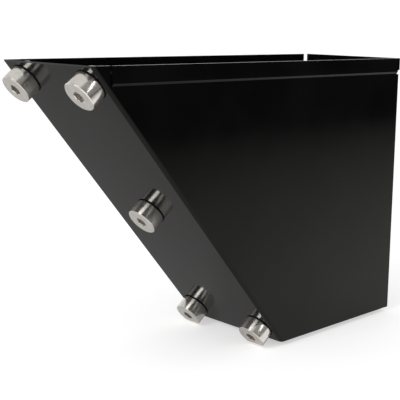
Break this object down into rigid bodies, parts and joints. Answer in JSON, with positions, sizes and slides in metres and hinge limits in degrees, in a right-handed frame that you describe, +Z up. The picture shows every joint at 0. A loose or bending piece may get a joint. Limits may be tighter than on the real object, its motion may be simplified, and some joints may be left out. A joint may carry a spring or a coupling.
{
  "type": "battery box",
  "caption": "Open-topped sheet-steel battery box with one sloping end, which is a mounting plate with socket-head screws, and a stepped rim round the mouth.",
  "frame": {"origin": "middle of the sloping plate's outer face, on the axis of the centre screw", "axes": "+X level, from the sloping plate towards the upright end wall; +Y across the box; +Z up, out of the mouth"},
  "size_m": [0.254, 0.0824, 0.173],
  "materials": {
    "gloss_black_paint": "gloss",
    "polished_steel": "polished",
    "plain_steel": "satin",
    "black_rubber": "matte"
  },
  "bodies": {
    "root": {"shell": "gloss_black_paint", "floor_end_panel": "gloss_black_paint", "screw_1": "polished_steel", "screw_2": "polished_steel", "screw_3": "polished_steel", "screw_4": "polished_steel", "screw_5": "polished_steel", "black_washer_1": "black_rubber", "black_washer_2": "black_rubber", "black_washer_3": "black_rubber", "black_washer_4": "black_rubber", "black_washer_5": "black_rubber", "inner_washer_1": "plain_steel", "inner_washer_2": "plain_steel", "inner_washer_3": "plain_steel", "inner_washer_4": "plain_steel", "inner_washer_5": "plain_steel", "nut_1": "plain_steel", "nut_2": "plain_steel", "nut_3": "plain_steel", "nut_4": "plain_steel", "nut_5": "plain_steel"}
  },
  "joints": []
}
